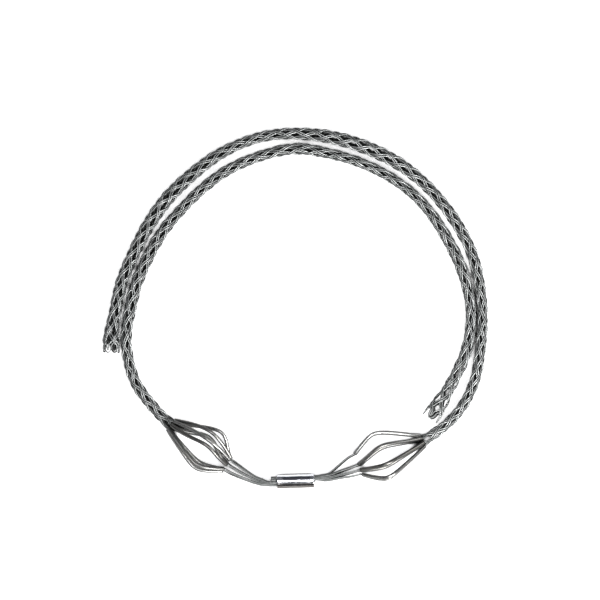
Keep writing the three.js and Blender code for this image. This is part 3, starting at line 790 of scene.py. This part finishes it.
def floor_material():
    """Pale floor that looks white to the camera and to the metal, keeps shadows, and is painted dark under
    the socks.
    """
    n = Nodes("plain_white_floor")
    path = n.add("ShaderNodeLightPath")
    seen = n.math("MAXIMUM", path.outputs["Is Camera Ray"], path.outputs["Is Glossy Ray"])
    seen = n.math("MAXIMUM", seen, path.outputs["Is Transmission Ray"])
    near = n.add("ShaderNodeAmbientOcclusion", {"samples": 32}, Distance=NEAR_REACH)
    wide = n.add("ShaderNodeAmbientOcclusion", {"samples": 16}, Distance=WIDE_REACH)
    open_near = n.spread(near.outputs["AO"], 0.54, 0.66, 0.0, 1.0)
    open_sky = n.math("MULTIPLY", open_near, n.spread(wide.outputs["AO"], 0.22, 0.32, 0.0, 1.0))
    dull = n.add("ShaderNodeBsdfDiffuse")
    n.put(dull, "Color", n.mix(open_sky, FLOOR_SHADE, FLOOR_WHITE))
    glow = n.add("ShaderNodeEmission", Color=colour(1, 1, 1))
    n.put(glow, "Strength", n.math("MULTIPLY", n.math("MULTIPLY", seen, open_sky), FLOOR_GLOW))
    both = n.add("ShaderNodeAddShader")
    n.put(both, "0", dull.outputs[0])
    n.put(both, "1", glow.outputs[0])
    return n.finish(both.outputs[0])


# Stage
# The picture is 600 px and 600 mm wide; its middle is this far from the ring's centre, upwards
PICTURE_WIDTH = 0.6
PICTURE_OFFSET = 8.0
CAMERA_HEIGHT = 4.0
GRIP_MIDDLE = 0.008      # height of the socks' axes, where the picture's width is measured
FLOOR_SIZE = 12
FLOOR_DROP = 0.0002      # keeps the floor clear of the lowest ropes
view_centre = SHIFT * MM + np.array([0, PICTURE_OFFSET * MM, 0])


def add_camera():
    """Straight above the grip, with the picture's top towards +Y."""
    data = bpy.data.cameras.new("camera")
    data.sensor_width = 36
    data.lens = data.sensor_width * (CAMERA_HEIGHT - GRIP_MIDDLE) / PICTURE_WIDTH
    camera = bpy.data.objects.new("camera", data)
    bpy.context.collection.objects.link(camera)
    camera.location = (view_centre[0], view_centre[1], CAMERA_HEIGHT)
    bpy.context.scene.camera = camera


def add_floor():
    bpy.ops.mesh.primitive_plane_add(size=FLOOR_SIZE, location=(0, 0, -FLOOR_DROP))
    floor = bpy.context.object
    floor.name = "floor"
    floor.data.materials.append(floor_material())


def add_lamp(name, azimuth, elevation, distance, size, watts):
    """A soft rectangular lamp that faces the grip; azimuth 0 is +X and 90 is +Y."""
    data = bpy.data.lights.new(name, "AREA")
    data.shape = "RECTANGLE"
    data.size, data.size_y = size
    data.energy = watts
    lamp = bpy.data.objects.new(name, data)
    bpy.context.collection.objects.link(lamp)
    a, e = math.radians(azimuth), math.radians(elevation)
    way = np.array([math.cos(a) * math.cos(e), math.sin(a) * math.cos(e), math.sin(e)])
    lamp.location = tuple(view_centre + way * distance)
    lamp.rotation_euler = (math.pi / 2 - e, 0, a + math.pi / 2)
    lamp.visible_camera = False


def add_world():
    """Dim even light on the grip, and a white background for the camera."""
    world = bpy.data.worlds.new("studio")
    bpy.context.scene.world = world
    world.use_nodes = True
    nodes, links = world.node_tree.nodes, world.node_tree.links
    background = nodes["Background"]
    path = nodes.new("ShaderNodeLightPath")
    mix = nodes.new("ShaderNodeMix")
    mix.data_type = "RGBA"
    mix.inputs[6].default_value = colour(0.14, 0.143, 0.155)
    mix.inputs[7].default_value = colour(1, 1, 1)
    links.new(path.outputs["Is Camera Ray"], mix.inputs[0])
    links.new(mix.outputs[2], background.inputs["Color"])


add_camera()
add_floor()
add_world()
add_lamp("key", -60, 42, 1.5, (0.6, 0.6), 24)
add_lamp("fill_right", 15, 32, 1.6, (0.7, 0.5), 6)
add_lamp("fill_left", 200, 28, 1.7, (0.6, 0.4), 1.5)
add_lamp("top", -90, 85, 1.4, (0.42, 0.3), 6)

# The grip
wire, sleeve = wire_material(), sleeve_material()
add_ferrule(ferrule_material())
for side_name in SIDES:
    half = Side(side_name)
    for strand_number in range(1, STRANDS + 1):
        add_strand(half, strand_number, wire)
    for bar in range(SLOTS):
        add_sleeve(half, bar, sleeve)

bpy.context.scene.view_settings.view_transform = "Standard"
